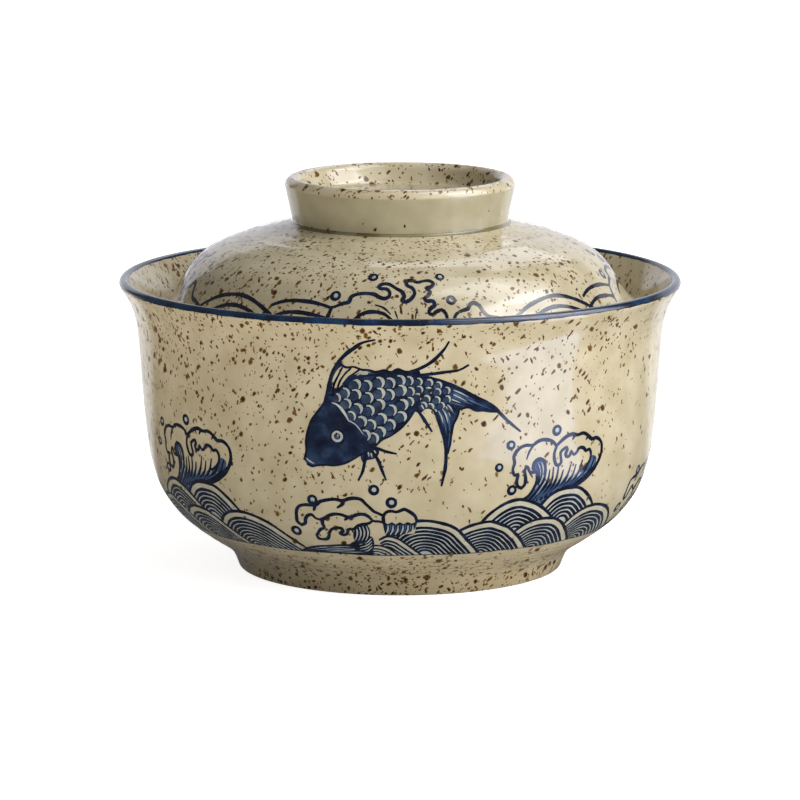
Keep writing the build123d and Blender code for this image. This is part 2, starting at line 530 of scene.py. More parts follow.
def flowing(points, closed=False):
    """A smooth line through given points, as close points."""
    points = np.asarray(points, float)
    if closed:
        points = np.vstack([points[-1:], points, points[:2]])
    gaps = np.linalg.norm(np.diff(points, axis=0), axis=1)[:, None]
    slopes = np.diff(points, axis=0) / gaps
    middles = (slopes[:-1] * gaps[1:] + slopes[1:] * gaps[:-1]) / (gaps[:-1] + gaps[1:])
    slopes = np.vstack([slopes[:1], middles, slopes[-1:]])
    line = []
    for i in range(1 if closed else 0, len(points) - (2 if closed else 1)):
        t = np.linspace(0, 1, int(gaps[i, 0] / brush_step) + 2)[:-1, None]
        line.append(
            (2 * t**3 - 3 * t**2 + 1) * points[i]
            + (t**3 - 2 * t**2 + t) * gaps[i] * slopes[i]
            + (3 * t**2 - 2 * t**3) * points[i + 1]
            + (t**3 - t**2) * gaps[i] * slopes[i + 1]
        )
    if not closed:
        line.append(points[-1:])
    return np.vstack(line)


class Painting:
    """Brush marks on an unrolled surface. A later mark covers an earlier one. Bare glaze is a mark too."""

    def __init__(self):
        self.marks = []

    def fill(self, outline, paint, within=None):
        """Fills an outline. Within is an earlier mark that this one doesn't run out of."""
        outline = np.asarray(outline, float)
        x, y = outline.T
        area = np.sum(x * np.roll(y, -1) - np.roll(x, -1) * y) / 2
        if abs(area) < least_area:
            return None
        self.marks.append((outline if area > 0 else outline[::-1], paint, within))
        return len(self.marks) - 1

    def wash(self, points, paint, within=None):
        """Fills a smooth closed line through given points."""
        return self.fill(flowing(points, closed=True), paint, within)

    def stroke(self, points, width, paint="line", start=1.0, end=1.0, within=None):
        """A stroke along a flowing line. Start and end say how wide it is there, as shares of its width."""
        line = flowing(points)
        run = lengths(line)
        taper = min(taper_length, run[-1] * taper_share)
        load = 1 + sum(h * np.sin(run / size + at) for (h, size), at in zip(load_wavers, line[0]))
        load = load * np.minimum(1, start + (1 - start) * run / taper)
        load = load * np.minimum(1, end + (1 - end) * (run[-1] - run) / taper)
        side = right_hand(line) * (load * width / 2)[:, None]
        left, right = line - side, line + side
        for i in range(len(line) - 1):
            self.fill([left[i], right[i], right[i + 1]], paint, within)
            self.fill([left[i], right[i + 1], left[i + 1]], paint, within)
        for at, ahead in ((0, line[0] - line[1]), (-1, line[-1] - line[-2])):
            ahead = ahead / np.linalg.norm(ahead) * np.linalg.norm(side[at])
            turn = np.linspace(0, math.pi, round_end_points)[:, None]
            self.fill(line[at] + side[at] * np.cos(turn) + ahead * np.sin(turn), paint, within)

    def strokes(self, lines, width, paint="line", **ends):
        """Strokes of one kind along several lines."""
        for points in lines:
            self.stroke(points, width, paint, **ends)

    def disc(self, centre, radius, paint, within=None):
        """A round dab."""
        count = max(dab_points, int(radius * dab_points_per_mm))
        turn = np.linspace(0, 2 * math.pi, count, endpoint=False)
        dab = np.column_stack([np.cos(turn), np.sin(turn)]) * radius
        return self.fill(np.asarray(centre) + dab, paint, within)

    def droplets(self, drops):
        """Drops of spray: dark rings with a pale middle."""
        for (across, up), radius in drops:
            self.disc((across, up), radius, "line")
            self.disc((across + drop_light_shift, up + drop_light_shift), radius * drop_light, "pale")

    def settled(self, low, high, repeats=False):
        """The plane cut along the edge of every mark: its points, and the triangles that show each paint.

        Where the painting repeats, what runs out of the stretch at one side comes in at the other."""
        pitch = high[0] - low[0]
        points, marks, paints, holders = [], [], [], []
        for shift in (-pitch, 0, pitch) if repeats else (0,):
            numbers = {None: None}
            for number, (outline, paint, within) in enumerate(self.marks):
                outline = outline + (shift, 0)
                if within not in numbers or outline[:, 0].max() < low[0] or outline[:, 0].min() > high[0]:
                    continue
                numbers[number] = len(marks)
                marks.append(list(range(len(points), len(points) + len(outline))))
                points.extend(outline.tolist())
                paints.append(None if paint == "bare" else paint)
                holders.append(numbers[within])
        first = len(points)
        points += [(low[0], low[1]), (low[0], high[1]), (high[0], low[1]), (high[0], high[1])]
        ends = [(first, first + 1), (first + 2, first + 3)]
        points, _, triangles, _, _, covers = delaunay_2d_cdt(
            [Vector(point) for point in points], ends, marks, 0, weld_distance
        )
        points = np.array(points)
        left_paint = {}
        for triangle, cover in zip(triangles, covers):
            inside = low[0] < points[triangle, 0].mean() < high[0]
            on_top = [mark for mark in cover if holders[mark] is None or holders[mark] in cover]
            paint = paints[max(on_top)] if inside and on_top else None
            left_paint.update({edge: paint for edge in edges_of(triangle)})
        across = np.arange(low[0] + grid_step / 2, high[0], grid_step)
        up = np.arange(low[1], high[1], grid_step)
        grid = np.stack(np.meshgrid(across, up), axis=-1).reshape(-1, 2)
        return recut(points, *borders(points, left_paint), grid)


def edges_of(triangle):
    """The three edges of a triangle, in order."""
    return list(zip(triangle, triangle[1:] + triangle[:1]))


def borders(points, left_paint):
    """The edges where two paints meet, each way round, with the paint to the left of each.

    Left paint is that of every edge of the first cut. Points on a straight border are left out."""
    border = {edge: paint for edge, paint in left_paint.items() if left_paint.get(edge[::-1]) != paint}
    border.update({edge[::-1]: None for edge in list(border) if edge[::-1] not in border})
    beside = {}
    for start, end in border:
        beside.setdefault(start, set()).add(end)
    first, last = points[list(beside), 0].min(), points[list(beside), 0].max()
    for point in beside:
        at_end = min(points[point, 0] - first, last - points[point, 0]) < weld_distance
        if at_end or len(beside[point]) != 2:
            continue
        before, after = beside[point]
        chord = points[after] - points[before]
        length = np.linalg.norm(chord)
        off = points[point] - points[before]
        bent = abs(chord[0] * off[1] - chord[1] * off[0]) > straight_enough * length
        if bent or length > 2 * brush_step or after in beside[before]:
            continue
        border[before, after] = border.pop((before, point))
        border[after, before] = border.pop((after, point))
        del border[point, before], border[point, after]
        beside[before] ^= {point, after}
        beside[after] ^= {point, before}
        beside[point] = set()
    return border, [edge for edge in border if edge[0] < edge[1]]


def recut(points, border, edges, grid):
    """Cuts the plane again, along the borders alone, so that a covered mark leaves no edge.

    The grid's points keep the triangles small enough to follow the turned surface."""
    corners = sorted({point for edge in edges for point in edge})
    number = {point: index for index, point in enumerate(corners)}
    places, lines, triangles, _, sources, _ = delaunay_2d_cdt(
        [Vector(point) for point in np.vstack([points[corners], grid])],
        [(number[start], number[end]) for start, end in edges],
        [],
        0,
        weld_distance,
    )
    places = np.array(places)
    known = {}
    for (start, end), source in zip(lines, sources):
        if source:
            first, last = edges[source[0]]
            if np.dot(places[end] - places[start], points[last] - points[first]) < 0:
                first, last = last, first
            known[start, end] = border[first, last]
            known[end, start] = border[last, first]
    # Each paint spreads from its border over what the border encloses
    owner = {edge: index for index, triangle in enumerate(triangles) for edge in edges_of(triangle)}
    paint_of = {}
    waiting = [(owner[edge], paint) for edge, paint in known.items() if edge in owner]
    while waiting:
        index, paint = waiting.pop()
        if index not in paint_of:
            paint_of[index] = paint
            open_edges = [(b, a) for a, b in edges_of(triangles[index]) if (a, b) not in known]
            waiting += [(owner[edge], paint) for edge in open_edges if edge in owner]
    shown = {}
    for index, paint in sorted(paint_of.items()):
        shown.setdefault(paint, []).append(triangles[index])
    return places, shown


def films(group, paints, cut, face, reference, turns, body):
    """Closed films of a cut painting's paints on a turned face, repeated as often as it was painted."""
    places, shown = cut
    pitch = 2 * math.pi * reference / turns
    points = np.vstack([places + (pitch * turn, 0) for turn in range(turns)])
    spot = np.round(points * seam_places_per_mm)
    spot[:, 0] %= round(pitch * turns * seam_places_per_mm)
    _, keep, same = np.unique(spot, axis=0, return_index=True, return_inverse=True)
    for paint in paints:
        triangles = np.vstack([np.array(shown[paint]) + len(places) * turn for turn in range(turns)])
        triangles = same.ravel()[triangles]
        triangles = triangles[(triangles != np.roll(triangles, 1, axis=1)).all(axis=1)]
        used, triangles = np.unique(triangles, return_inverse=True)
        triangles = triangles.reshape(-1, 3)
        angle, run = points[keep[used]].T / [[reference], [1]]
        top, normals = laid_on(face, angle, run, film_thickness)
        under, _ = laid_on(face, angle, run, -film_sunk)
        size = len(used)
        edges = [edge for triangle in triangles.tolist() for edge in edges_of(triangle)]
        forward = set(edges)
        faces = triangles.tolist() + (triangles[:, ::-1] + size).tolist()
        faces += [(a, a + size, b + size, b) for a, b in edges if (b, a) not in forward]
        skin = np.vstack([top, under])
        painted(group + paint, skin, np.vstack([normals, normals]), faces, paint_materials[paint], body)


sea = Painting()

# Breaking crest: a leaning stem of blue with pale streaks that rises into two curls of foam
stem = (
    (38.5, 43.0), (39.75, 43.75), (41.6, 45.9), (42.7, 48.75), (42.6, 51.25), (41.5, 53.4), (42.0, 54.8),
    (43.5, 55.4), (44.9, 54.6), (45.5, 52.8), (45.5, 50.6), (46.4, 48.4), (50.5, 47.6), (55.5, 48.4),
    (59.4, 49.6), (62.6, 51.6), (64.2, 54.0), (66.2, 53.0), (65.6, 50.6), (63.6, 48.4), (61.0, 46.9),
    (57.6, 45.2), (50.0, 42.0), (43.0, 41.0),
)
left_foam = (
    (37.6, 47), (36.2, 47.7), (35.8, 49.2), (36.1, 51.4), (35.2, 51.1), (34.3, 52.7), (34.75, 55),
    (34.4, 56.9), (35.2, 58.4), (36.6, 59.5), (38.5, 60), (40.7, 59.8), (41.9, 60.6), (43.8, 61.1),
    (45.7, 60.9), (47.6, 60.2), (49, 58.75),
)
left_curl = (
    (37.6, 47), (38.5, 47.8), (38.8, 49.4), (38.5, 51.25), (38.3, 52.5), (39.1, 53.4), (40.1, 51.7),
    (41.6, 51.5),
)
right_foam = (
    (49, 58.75), (50.7, 60), (52.6, 61.1), (54.75, 61.6), (57.25, 61.1), (59.1, 61.4), (60.7, 60.9),
    (61.9, 60), (63.2, 59.1), (65.1, 59.2), (66.6, 58.6), (67.9, 57.2), (68.3, 55.3), (68, 53.4),
    (67.1, 51.6), (65.7, 49.7), (63.8, 48.1), (61.3, 46.7), (57.6, 45.3),
)
right_curls = (
    (49, 58.4), (48.4, 56.6), (48.7, 54.4), (49.4, 53), (50.4, 52.7), (51.2, 53.4), (51, 55),
    (50.8, 56.6), (51.6, 57.3), (53, 57.8), (53.3, 57.2), (52.7, 55.9), (53.2, 55), (54.4, 55.2),
    (54.9, 56.5), (55.9, 55.3), (56.9, 55.6), (58, 57.0), (60.1, 56.7), (61, 55.8), (62.4, 56.1),
    (63.3, 55), (63.3, 53.1), (62.4, 51.6), (60.7, 50.3), (58.5, 49.4),
)
stem_back = ((38.5, 43.2), (39.75, 43.75), (41.6, 45.9), (42.7, 48.75), (42.6, 51.25))
stem_hook = (
    (42.6, 51.25), (41.2, 52.6), (41.4, 54.3), (43.0, 55.4), (44.75, 54.7), (45.5, 52.8), (45.4, 50.6),
)
stem_front = ((50.0, 44.4), (54.2, 45.4), (57.6, 45.4), (60.6, 46.9), (64.0, 49.2), (66.6, 51.4))
rib_shade = (-0.35, 0)
rib_light = (0.75, -0.3)
streak_shade = (-0.55, -0.1)
sea.wash(stem, "wash")
for rib in (
    ((40.8, 43.0), (43.4, 45.8), (45.2, 48.6), (45.9, 51.8)),
    ((42.4, 42.6), (45.2, 45.4), (46.8, 48.4), (47.2, 51.6)),
    ((43.6, 42.6), (46.8, 45.4), (48.3, 48.4), (48.5, 52.2)),
    ((45.0, 42.8), (48.4, 45.6), (50.0, 48.8), (50.4, 52.6)),
    ((46.6, 43.4), (50.2, 46.0), (51.7, 48.6), (52.3, 50.9)),
    ((48.2, 43.8), (52.2, 46.2), (54.3, 49.4), (55.4, 53.0)),
    ((50.0, 44.4), (54.2, 46.6), (56.3, 49.0), (57.3, 52.0)),
    ((52.4, 45.0), (56.6, 47.0), (58.8, 49.8), (59.9, 53.0)),
    ((54.4, 45.4), (58.6, 47.2), (61.4, 49.6), (63.2, 53.4)),
    ((56.6, 45.6), (60.6, 47.4), (63.6, 49.8), (65.2, 53.2)),
):
    rib = np.asarray(rib)
    sea.stroke(rib[:-1] + rib_shade, 1.4, "wash", end=0.1)
    sea.stroke(rib, 1.0, end=0.5)
    sea.stroke(rib[:-1] + rib_light, 0.5, "pale", start=0.3, end=0.6)
for streak in (
    ((42.6, 46.4), (43.9, 48.8), (44.0, 51.4), (42.9, 54.0)),
    ((43.9, 47.6), (44.9, 50.2), (44.7, 52.6), (44.0, 54.2)),
):
    sea.stroke(np.add(streak, streak_shade), 0.75, start=0.6, end=0.5)
    sea.stroke(streak, 0.45, "pale", start=0.4, end=0.4)
sea.stroke(stem_back, 1.0)
sea.stroke(stem_hook, 1.1)
sea.stroke(stem_front, 1.3, start=0.5, end=0.6)
sea.strokes((left_foam, left_curl), 1.05)
sea.stroke(((40.7, 59.7), (39.4, 57.8), (38.7, 55.6)), 0.8, end=0.4)
sea.stroke(right_foam, 1.15)
sea.strokes((((56, 61.25), (55.1, 59.9)), ((61.6, 60.3), (60.7, 59.2))), 0.9, end=0.4)
sea.stroke(right_curls, 1.05, end=0.5)
sea.droplets((((48.9, 63.4), 1.75), ((33.3, 60.4), 1.5), ((29.8, 53.9), 1.4), ((34.4, 46.6), 1.65)))

# Wave hills, from the one farthest back to the one in front: outline, focus and number of rings
least_ring = 0.1
ring_line = 0.95
hidden_depth = 2.0


def down_to_floor(points):
    """A flowing line closed a little below the sea's floor, where it is wiped off later."""
    line = flowing(points)
    bottom = sea_floor - hidden_depth
    return np.vstack([line, [(line[-1, 0], bottom), (line[0, 0], bottom)]])


def hill(outline, focus, rings, first_gap=2.45, gap=1.36, line=1.06):
    """A wave hill: a dark outline, a clear band, then dark rings drawn closer and closer to its focus."""
    outline = np.asarray(outline, float)
    arms = outline - focus
    reach = np.max(arms[:, 1])
    body = sea.fill(down_to_floor(outline), "cream")
    sea.fill(down_to_floor(focus + arms * (1 - first_gap / reach)), "pale", body)
    for ring in range(rings):
        share = 1 - (first_gap + ring * gap) / reach
        if share >= least_ring:
            sea.stroke(focus + arms * share, line * ring_line, within=body)
    sea.stroke(outline, line)


for hill_shape in (
    (
        ((44, 38.5), (46, 41.3), (48.5, 43.5), (52, 44.9), (56, 45.1), (60, 44.5), (63.5, 42.5), (66.5, 40),
         (68.5, 37.8), (70, 35)),
        (55.5, 33.5), 7,
    ),
    (
        ((24.6, 34.5), (25.8, 36.8), (27.5, 39), (30, 41), (33.5, 42.8), (37.5, 43.4), (41, 42.5), (44.5, 41),
         (47.5, 39), (50.5, 36.5), (52, 35)),
        (38, 32.2), 7,
    ),
    (
        ((55, 28.5), (58, 32.5), (60.5, 35), (64, 36.8), (68, 37.5), (71.5, 37.3), (75.5, 36.3), (79.5, 34.5),
         (83, 31.8), (86.5, 28.5), (91, 24), (93, 22)),
        (69, 22.5), 10,
    ),
    (
        ((35.5, 28.5), (38.5, 32.5), (41, 34.5), (45, 35.8), (49, 35.9), (52.5, 35.3), (56, 33.5),
         (59.5, 30.5), (62.5, 27.5), (65.5, 24.5), (68, 22)),
        (48.6, 22.5), 9,
    ),
    (
        ((15.5, 30), (18.8, 34), (21.5, 35.5), (25.5, 36.6), (29, 36.8), (32.5, 35.5), (35.5, 34),
         (38.5, 31.5), (41.5, 28.8), (44.5, 25.5), (48, 22)),
        (28.2, 22.5), 9,
    ),
    (
        ((-3.5, 33), (0, 36.4), (4.4, 38), (6.8, 38.2), (10, 37.9), (12.8, 37.2), (16, 36), (18.8, 34),
         (21.2, 31.2), (24, 28), (29, 22)),
        (8.6, 23.5), 9,
    ),
):
    hill(*hill_shape)

# Small foam cloud on the shoulder of the front hill, with short hatch strokes under it
small_cloud = (
    (-5, 37.6), (-5, 40), (-4, 41.2), (-2.4, 41.5), (-1.2, 41.2), (0, 41.6), (1.2, 42.1), (2.4, 41.6),
    (3.6, 40.8), (4.6, 39.8), (5.2, 38),
)
cloud_shade = (
    (-4.9, 37.9), (-3.7, 37.1), (-2.5, 37.8), (-1.3, 37.0), (-0.1, 37.8), (1.1, 37.1), (2.3, 37.9),
    (3.6, 37.3), (5.1, 38.1), (4.6, 35.4), (2.2, 33.8), (-0.8, 32.7), (-4.2, 32.2), (-4.9, 34.6),
)
hatches = 6
hatch_gap = 1.55
hatch_from = -3.7
sea.fill(np.vstack([flowing(small_cloud), [(4.6, 33.6), (-4.6, 32.6)]]), "bare")
shade = sea.wash(cloud_shade, "line")
for hatch in range(hatches):
    hatch_shift = (hatch * hatch_gap + hatch_from, 0)
    pale_hatch = np.add(((0, 36.6), (-0.1, 35.0), (-0.9, 33.2)), hatch_shift)
    blue_hatch = np.add(((0.75, 36.8), (0.7, 35.4), (0.1, 34.0)), hatch_shift)
    sea.stroke(pale_hatch, 0.5, "pale", start=0.5, end=0.5, within=shade)
    sea.stroke(blue_hatch, 0.4, "wash", end=0.5, within=shade)
sea.stroke(small_cloud, 1.05)

# Near hills at the foot of the cloud
cloud_hill = ((-6.5, 31), (-4.4, 32.4), (-0.8, 31.6), (2, 29.2), (5.2, 26), (9, 22))
low_hill = ((-12.5, 26.5), (-9.4, 28.2), (-6, 28.2), (-3.4, 26.8), (-1.2, 24.4), (0.5, 22))
hill(cloud_hill, (-6, 22), 6, first_gap=1.9, gap=1.3, line=0.85)
hill(low_hill, (-9.5, 20.5), 5, first_gap=1.5, gap=1.3, line=0.8)

# Long swell running out to the left, with a curl that breaks over it and two banks of foam above
swell = (
    (-34.6, 24.6), (-32, 26), (-28, 27.2), (-24, 27.8), (-20, 28.4), (-16.4, 28.8), (-14, 30),
    (-10.4, 29), (-9, 26), (-9.5, 22), (-36, 22),
)
trough = (
    (-16.5, 28.6), (-14.2, 30.4), (-11.6, 31.6), (-9.2, 32.4), (-8.4, 29.4), (-9.0, 26.6), (-12.0, 25.4),
    (-15.6, 26.4),
)
curl = (
    (-14.4, 34.4), (-15.0, 32), (-14.4, 29.8), (-12, 29.0), (-10.4, 30.4), (-9.5, 32.8), (-9.5, 35.2),
    (-10.4, 37.0), (-12.8, 36.8),
)
swell_light = (0.8, 0.05)
drips = 4
drip_gap = 1.3
sheens = 4
sheen_gap = 1.15
sea.wash(swell, "line")
for streak in (
    ((-32, 25.0), (-28, 26.2), (-23, 27.0), (-18, 27.6)),
    ((-30, 24.6), (-25, 25.7), (-20, 26.2), (-15.6, 26.6)),
    ((-25, 26.6), (-21, 27.2), (-17, 27.4)),
    ((-27, 24.5), (-22, 25.0), (-17, 25.4)),
    ((-20, 25.8), (-16, 26.1), (-13.4, 26.2)),
    ((-21, 24.4), (-16, 24.7), (-12.4, 25.0)),
):
    sea.stroke(streak, 0.75, "wash", start=0.2, end=0.2)
    sea.stroke(np.add(streak, swell_light), 0.34, "pale", start=0.1, end=0.1)
dark_trough = sea.wash(trough, "line")
for fall in range(drips):
    drip = np.subtract(((-9.2, 31.6), (-10.8, 29.8), (-13.4, 28.7)), (0, fall * drip_gap))
    sea.stroke(drip, 0.55, "pale", start=0.4, end=0.3, within=dark_trough)
dark_curl = sea.wash(curl, "line")
for arc in range(sheens):
    sheen = np.add(((-13.9, 36.2), (-13.5, 34.2), (-14.0, 31.8), (-14.6, 30.6)), (arc * sheen_gap, 0))
    sea.stroke(sheen, 0.52, "pale", start=0.4, end=0.3, within=dark_curl)
foam_banks = (
    (
        (-31.6, 35.4), (-32.8, 36.6), (-32.7, 38.4), (-32.4, 40.4), (-31.4, 41.8), (-29.6, 42.4),
        (-27.2, 42.5), (-26, 42.6), (-24.4, 43.8), (-22, 44.5), (-19.6, 44.8), (-17.2, 44.5),
        (-15.6, 45.1), (-13.6, 45.4), (-11.6, 45), (-10.4, 43.8), (-9.2, 42.6), (-8, 41.4), (-6.4, 40.6),
        (-5.2, 40),
    ),
    ((-26, 42.6), (-26.6, 41)),
    ((-16.9, 44.5), (-17.6, 43.2), (-19, 42.2)),
    ((-31.6, 35.4), (-30.2, 36.2), (-29.8, 37.8), (-28.8, 39), (-27.5, 39.3), (-26.4, 38.2), (-24.8, 37.8)),
    (
        (-24.8, 37.8), (-23.4, 38.4), (-22, 39.4), (-20, 40), (-18, 39.9), (-16, 39.2), (-14.8, 39.4),
        (-12.8, 40.2), (-10.8, 40.2), (-9.2, 39.2), (-8.4, 38.2), (-6.4, 38), (-5, 37.6),
    ),
    ((-16, 39.2), (-17, 38.2)),
    (
        (-24.2, 37.8), (-24.4, 36.4), (-24, 35), (-25.2, 34.4), (-26.4, 33), (-27.2, 31.6),
        (-26.6, 30.4), (-25.2, 30.2), (-23.8, 30.6), (-23, 32), (-22.6, 33.4), (-21.6, 34.6),
        (-20, 35.2), (-18.4, 35), (-18.0, 33.9), (-19.2, 33.3), (-18.6, 32.7), (-17.2, 32.8),
        (-16.6, 33.8), (-16.2, 34.8), (-14.4, 35), (-13.2, 36.2), (-11.6, 36.9), (-9.6, 37.3),
        (-8.4, 38.2),
    ),
)
sea.strokes(foam_banks, 1.1, end=0.7)
sea.droplets((((-34, 33), 1.9), ((-26.8, 44.2), 1.7), ((-7.8, 48.1), 1.7), ((-2.6, 44.2), 1.8)))

# Where the sea ends, everything below is wiped off, and a thin line closes it
past_seam = 1.0
wiped_to = 10.0
shore_points = 32
shore_waver = 0.18
shore_wavers = 4
shore_drop = 0.1
shore_line = 0.45
shore = np.linspace(wave_from - past_seam, wave_to + past_seam, shore_points)
wiped = ((shore[0], wiped_to), (shore[-1], wiped_to), (shore[-1], sea_floor), (shore[0], sea_floor))
sea.fill(wiped, "bare")
shore_height = sea_floor - shore_drop + shore_waver * np.sin(shore * 2 * math.pi * shore_wavers / wave_pitch)
sea.stroke(np.column_stack([shore, shore_height]), shore_line)

bowl_face = turned_face(bowl_outside)
sea_cut = sea.settled((wave_from, sea_reach[0]), (wave_to, sea_reach[1]), repeats=True)
films("waves_", ("line", "wash", "pale", "cream"), sea_cut, bowl_face, bowl_reference, wave_turns, "bowl")

# Carp: a carp leaping over the waves, painted once on the front and once on the back by brush.
# Its head is a flat dark wash. Its scales are left pale at their free edge and outlined in the line colour.
carp_turns = 2
carp_low = (-31, 47)
carp_high = (39, 96)
# Deep wash, wash in the scales, and the thin grey-blue that the scales' edges were left in
paint_materials.update(
    deep=glazed("cobalt_deep_under_glaze", ("0a1226", "17243f", "304565"), 5.0, 0.2, speck_on_cobalt),
    scale=glazed("cobalt_wash_in_scales", ("1d2b45", "2c3d58", "41536d"), 3.0, 0.2, speck_on_cobalt),
    scale_edge=glazed("thin_wash_on_scales", ("a0a8a5", "afb5b0", "bec3ba"), 3.0, 0.2, speck_on_cobalt),
)
carp = Painting()

# Long streamers of the back fin, and the tail with its fine rays
long_streamer = (
    (-21.4, 74.6), (-20.9, 77.2), (-20.0, 80.6), (-18.8, 83.9), (-17.0, 86.8), (-15.1, 88.9),
    (-12.8, 90.8), (-10.6, 92.6), (-6.9, 93.8),
)
high_streamer = ((3.0, 83.6), (5.1, 84.4), (7.5, 85.6), (9.4, 87.0), (11.3, 89.1), (12.8, 91.4), (13.4, 92.9))
low_streamer = ((4.0, 82.6), (8.9, 82.9), (13.2, 83.4), (17.0, 83.9), (19.4, 85.2))
carp.stroke(long_streamer, 1.15, end=0.55)
carp.stroke(high_streamer, 1.05, end=0.6)
carp.stroke(low_streamer, 0.9, end=0.7)
tail_fin = (
    (9.0, 81.6), (12.8, 80.3), (16.6, 78.7), (20.4, 76.3), (24.2, 74.1), (27.0, 72.5), (28.8, 70.7),
    (26.1, 71.0), (24.2, 71.4), (22.3, 71.5), (19.9, 72.5), (17.2, 72.2), (16.6, 70.1), (15.6, 68.2),
    (15.0, 65.0), (14.7, 62.0), (14.0, 59.2), (13.2, 57.0), (13.1, 60.0), (12.8, 63.9), (11.8, 66.8),
    (10.9, 69.1), (10.0, 71.2), (9.9, 72.5),
)
fin = carp.wash(tail_fin, "deep")
blue_rays = (
    ((14.6, 77.4), (18.4, 75.6), (22.4, 73.6), (26.4, 71.8)),
    ((14.4, 76.2), (17.6, 74.8), (21.0, 73.4)),
    ((13.6, 74.6), (16.0, 73.8), (18.6, 73.0)),
    ((12.6, 73.2), (13.8, 70.0), (14.4, 66.0), (14.0, 61.0)),
    ((11.4, 72.4), (12.8, 68.6), (13.6, 64.4)),
    ((13.4, 73.2), (15.0, 71.6), (16.2, 70.6)),
    ((13.0, 79.0), (17.0, 77.2), (21.6, 74.6)),
)
pale_rays = (
    ((14.8, 78.2), (17.4, 77.0), (19.8, 75.6)),
    ((14.8, 76.8), (17.0, 75.7), (19.4, 74.4)),
    ((14.2, 75.4), (16.0, 74.7), (17.6, 74.0)),
    ((13.4, 73.8), (14.4, 72.9), (15.2, 71.6)),
    ((12.0, 72.8), (13.2, 70.6), (13.8, 68.2)),
    ((12.9, 73.6), (13.9, 71.8), (14.5, 70.0)),
    ((11.1, 71.8), (12.0, 69.8), (12.5, 68.0)),
)
carp.strokes(blue_rays, 0.55, "wash", start=0.8, end=0.2, within=fin)
carp.strokes(pale_rays, 0.34, "pale", start=0.6, end=0.15, within=fin)
carp.stroke(((7.0, 82.0), (12.8, 80.3), (20.4, 76.4), (27.0, 72.6), (31.8, 68.0), (36.1, 64.4)), 1.1, end=0.5)
carp.stroke(((28.6, 70.8), (26.1, 71.0), (24.2, 71.4), (22.3, 71.4), (19.9, 72.5), (17.1, 72.1)), 0.55)
carp.stroke(((17.1, 72.1), (16.6, 70.1), (15.6, 68.2), (14.9, 64.9), (14.6, 62.0), (13.9, 59.1)), 0.75)
tail_fold = ((10.0, 72.0), (11.4, 68.0), (12.8, 63.9), (13.4, 59.5), (13.3, 54.9), (12.3, 49.4))
carp.stroke(tail_fold, 1.05, end=0.7)

# Back fin: pale rays in a wash under its dark upper edge
back_fin_edge = (
    (-17.0, 86.0), (-15.6, 84.8), (-12.9, 84.9), (-11.0, 84.2), (-8.7, 84.0), (-6.8, 83.5), (-4.4, 84.1),
    (-2.5, 83.6), (-0.6, 84.5), (1.3, 83.7), (3.2, 83.6), (5.1, 84.4),
)
back_fin_front = ((-21.2, 75.2), (-20.0, 80.6), (-18.6, 83.9))
back_fin_root = ((6.0, 82.0), (-4.0, 80.5), (-14.0, 78.0), (-18.6, 74.0))
clear_web = (
    (-16.6, 84.9), (-14.0, 84.7), (-9.4, 84.0), (-9.0, 83.2), (-13.2, 82.6), (-17.6, 78.6),
    (-18.9, 78.4),
)
dark_rays = (
    ((-19.4, 76.4), (-18.9, 79.4), (-17.4, 82.6), (-16.4, 84.6)),
    ((-18.2, 77.4), (-17.2, 80.4), (-15.6, 82.8), (-14.0, 84.4)),
    ((-16.2, 79.8), (-14.6, 81.8), (-12.4, 83.4), (-11.4, 84.2)),
    ((-14.4, 81.0), (-12.4, 82.4), (-10.2, 83.6)),
)
short_rays = (((-12.2, 82.4), (-10.6, 83.4), (-9.2, 83.8)), ((-10.2, 82.8), (-9.0, 83.5), (-7.8, 83.6)))
fin = carp.wash(back_fin_front + back_fin_edge + back_fin_root, "deep")
carp.wash(clear_web, "bare", fin)
carp.strokes(dark_rays, 0.6, within=fin)
carp.strokes(short_rays, 0.5, "pale", start=0.3, end=0.3, within=fin)
carp.stroke(back_fin_edge, 0.7)

# Body, and its scales from the tail to the head, so that each lies over the one behind it
carp_body = (
    (-19.6, 75.6), (-18.2, 77.2), (-16.2, 79.4), (-12.9, 81.3), (-9.1, 82.3), (-5.3, 82.7), (0.0, 82.7),
    (5.6, 82.4), (9.0, 81.8), (12.8, 80.4), (15.2, 78.6), (15.2, 76.0), (13.6, 73.6), (11.6, 72.2),
    (9.9, 71.6), (8.6, 72.6), (7.2, 72.6), (5.6, 71.6), (4.2, 72.0), (3.2, 71.0), (2.3, 69.1),
    (0.4, 67.0), (-2.5, 64.8), (-5.3, 63.3), (-7.0, 61.5), (-9.6, 59.6), (-11.6, 58.8), (-13.0, 66.0),
    (-17.0, 72.0),
)
body = carp.wash(carp_body, "deep")
